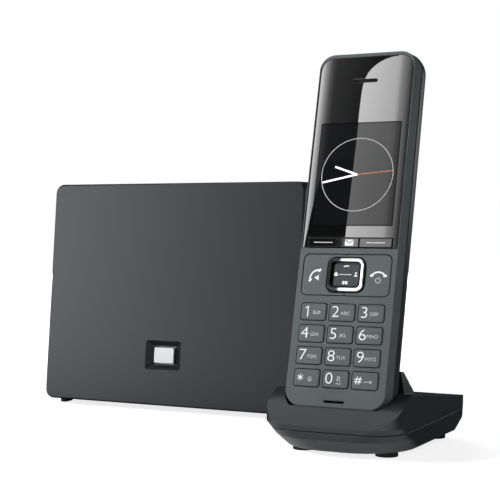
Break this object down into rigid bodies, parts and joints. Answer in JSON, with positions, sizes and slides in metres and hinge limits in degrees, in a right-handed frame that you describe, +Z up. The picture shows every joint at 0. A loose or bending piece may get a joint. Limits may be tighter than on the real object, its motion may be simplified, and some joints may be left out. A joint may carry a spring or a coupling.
{
  "type": "cordless phone with base",
  "caption": "Slim cordless telephone handset with colour display and keypad, leaning in a charging cradle beside a flat upright base station with a call button.",
  "frame": {"origin": "bottom centre of the whole set, on the surface it stands on", "axes": "+X to the right seen from the front (towards the cradle), +Y to the rear, +Z up"},
  "size_m": [0.2126, 0.121, 0.1603],
  "materials": {
    "shell_grey": "satin",
    "key_grey": "satin",
    "rear_black": "satin",
    "lens_black": "gloss",
    "display_dark": "gloss",
    "soft_key_black": "gloss",
    "chrome_trim": "polished",
    "pad_grey": "satin",
    "cradle_grey": "satin",
    "cradle_black": "satin",
    "base_charcoal": "matte",
    "base_rear_charcoal": "matte",
    "page_silver": "satin",
    "rubber_black": "matte",
    "silicone_grey": "matte",
    "board_green": "satin",
    "contact_metal": "satin",
    "screw_steel": "satin",
    "battery_silver": "satin",
    "speaker_black": "matte",
    "socket_black": "matte"
  },
  "bodies": {
    "stand": {"base_antennas": "screw_steel", "base_board": "board_green", "base_feet": "rubber_black", "base_front_cover": "base_charcoal", "base_rear_housing": "base_rear_charcoal", "base_screws": "screw_steel", "contact_carrier": "board_green", "cradle_bottom": "cradle_black", "cradle_feet": "rubber_black", "cradle_power_inlet": "socket_black", "cradle_screws": "screw_steel", "cradle_top": "cradle_grey", "lan_socket": "socket_black", "page_switch": "socket_black", "phone_line_socket": "socket_black", "power_socket": "socket_black", "socket_board": "board_green"},
    "handset": {"handset_front_shell": "shell_grey", "handset_rear_shell": "rear_black", "handset_charge_pads": "contact_metal", "handset_screws": "screw_steel", "display_lens": "lens_black", "display_module": "display_dark", "earpiece_speaker": "speaker_black", "microphone": "speaker_black", "key_mat": "silicone_grey", "handset_board": "board_green", "ringer_speaker": "speaker_black", "battery_left": "battery_silver", "battery_right": "battery_silver", "battery_contacts": "contact_metal"},
    "key_1": {"key_1": "key_grey"},
    "key_2": {"key_2": "key_grey"},
    "key_3": {"key_3": "key_grey"},
    "key_4": {"key_4": "key_grey"},
    "key_5": {"key_5": "key_grey"},
    "key_6": {"key_6": "key_grey"},
    "key_7": {"key_7": "key_grey"},
    "key_8": {"key_8": "key_grey"},
    "key_9": {"key_9": "key_grey"},
    "key_star": {"key_star": "key_grey"},
    "key_0": {"key_0": "key_grey"},
    "key_hash": {"key_hash": "key_grey"},
    "left_display_key": {"left_display_key": "soft_key_black"},
    "message_key": {"message_key": "soft_key_black"},
    "right_display_key": {"right_display_key": "soft_key_black"},
    "talk_key": {"talk_key": "key_grey"},
    "end_key": {"end_key": "key_grey"},
    "battery_cover": {"battery_cover": "rear_black"},
    "page_key": {"page_key": "page_silver"},
    "cradle_contact_left": {"cradle_contact_left": "contact_metal"},
    "cradle_contact_right": {"cradle_contact_right": "contact_metal"},
    "rocker_stem": {"rocker_stem": "socket_black"},
    "rocker_ring": {"rocker_ring": "chrome_trim"},
    "rocker_pad": {"rocker_pad": "pad_grey"}
  },
  "joints": [
    {"name": "handset_lift", "type": "slide", "parent": "stand", "child": "handset", "axis": [0, 0.2605, 0.9655], "range_m": [0, 0.08]},
    {"name": "key_1_press", "type": "slide", "parent": "handset", "child": "key_1", "axis": [0, 0.9655, -0.2605], "range_m": [0, 0.0006], "stiffness_N_per_m": 400, "springref_m": -0.0006},
    {"name": "key_2_press", "type": "slide", "parent": "handset", "child": "key_2", "axis": [0, 0.9655, -0.2605], "range_m": [0, 0.0006], "stiffness_N_per_m": 400, "springref_m": -0.0006},
    {"name": "key_3_press", "type": "slide", "parent": "handset", "child": "key_3", "axis": [0, 0.9655, -0.2605], "range_m": [0, 0.0006], "stiffness_N_per_m": 400, "springref_m": -0.0006},
    {"name": "key_4_press", "type": "slide", "parent": "handset", "child": "key_4", "axis": [0, 0.9655, -0.2605], "range_m": [0, 0.0006], "stiffness_N_per_m": 400, "springref_m": -0.0006},
    {"name": "key_5_press", "type": "slide", "parent": "handset", "child": "key_5", "axis": [0, 0.9655, -0.2605], "range_m": [0, 0.0006], "stiffness_N_per_m": 400, "springref_m": -0.0006},
    {"name": "key_6_press", "type": "slide", "parent": "handset", "child": "key_6", "axis": [0, 0.9655, -0.2605], "range_m": [0, 0.0006], "stiffness_N_per_m": 400, "springref_m": -0.0006},
    {"name": "key_7_press", "type": "slide", "parent": "handset", "child": "key_7", "axis": [0, 0.9655, -0.2605], "range_m": [0, 0.0006], "stiffness_N_per_m": 400, "springref_m": -0.0006},
    {"name": "key_8_press", "type": "slide", "parent": "handset", "child": "key_8", "axis": [0, 0.9655, -0.2605], "range_m": [0, 0.0006], "stiffness_N_per_m": 400, "springref_m": -0.0006},
    {"name": "key_9_press", "type": "slide", "parent": "handset", "child": "key_9", "axis": [0, 0.9655, -0.2605], "range_m": [0, 0.0006], "stiffness_N_per_m": 400, "springref_m": -0.0006},
    {"name": "key_star_press", "type": "slide", "parent": "handset", "child": "key_star", "axis": [0, 0.9655, -0.2605], "range_m": [0, 0.0006], "stiffness_N_per_m": 400, "springref_m": -0.0006},
    {"name": "key_0_press", "type": "slide", "parent": "handset", "child": "key_0", "axis": [0, 0.9655, -0.2605], "range_m": [0, 0.0006], "stiffness_N_per_m": 400, "springref_m": -0.0006},
    {"name": "key_hash_press", "type": "slide", "parent": "handset", "child": "key_hash", "axis": [0, 0.9655, -0.2605], "range_m": [0, 0.0006], "stiffness_N_per_m": 400, "springref_m": -0.0006},
    {"name": "talk_key_press", "type": "slide", "parent": "handset", "child": "talk_key", "axis": [0, 0.9655, -0.2605], "range_m": [0, 0.0006], "stiffness_N_per_m": 400, "springref_m": -0.0006},
    {"name": "end_key_press", "type": "slide", "parent": "handset", "child": "end_key", "axis": [0, 0.9655, -0.2605], "range_m": [0, 0.0006], "stiffness_N_per_m": 400, "springref_m": -0.0006},
    {"name": "left_display_key_press", "type": "slide", "parent": "handset", "child": "left_display_key", "axis": [0, 0.9655, -0.2605], "range_m": [0, 0.0005], "stiffness_N_per_m": 400, "springref_m": -0.0006},
    {"name": "message_key_press", "type": "slide", "parent": "handset", "child": "message_key", "axis": [0, 0.9655, -0.2605], "range_m": [0, 0.0005], "stiffness_N_per_m": 400, "springref_m": -0.0006},
    {"name": "right_display_key_press", "type": "slide", "parent": "handset", "child": "right_display_key", "axis": [0, 0.9655, -0.2605], "range_m": [0, 0.0005], "stiffness_N_per_m": 400, "springref_m": -0.0006},
    {"name": "rocker_press", "type": "slide", "parent": "handset", "child": "rocker_stem", "axis": [0, 0.9655, -0.2605], "range_m": [0, 0.0004], "stiffness_N_per_m": 600, "springref_m": -0.0006},
    {"name": "rocker_up_down", "type": "hinge", "parent": "rocker_stem", "child": "rocker_ring", "pos_m": [0.07634, -0.03708, 0.06957], "axis": [1, 0, 0], "range_deg": [-3, 3], "stiffness_Nm_per_rad": 0.15},
    {"name": "rocker_left_right", "type": "hinge", "parent": "rocker_ring", "child": "rocker_pad", "pos_m": [0.07634, -0.03766, 0.06973], "axis": [0, 0.2605, 0.9655], "range_deg": [-3, 3], "stiffness_Nm_per_rad": 0.15},
    {"name": "battery_cover_lift", "type": "slide", "parent": "handset", "child": "battery_cover", "axis": [0, 0.9655, -0.2605], "range_m": [0, 0.03]},
    {"name": "page_key_press", "type": "slide", "parent": "stand", "child": "page_key", "axis": [0, 0.995, -0.1], "range_m": [0, 0.0008], "stiffness_N_per_m": 400, "springref_m": -0.0006},
    {"name": "cradle_contact_left_press", "type": "slide", "parent": "stand", "child": "cradle_contact_left", "axis": [0, 0.122, -0.9925], "range_m": [0, 0.0008], "stiffness_N_per_m": 300, "springref_m": -0.0008},
    {"name": "cradle_contact_right_press", "type": "slide", "parent": "stand", "child": "cradle_contact_right", "axis": [0, 0.122, -0.9925], "range_m": [0, 0.0008], "stiffness_N_per_m": 300, "springref_m": -0.0008}
  ]
}
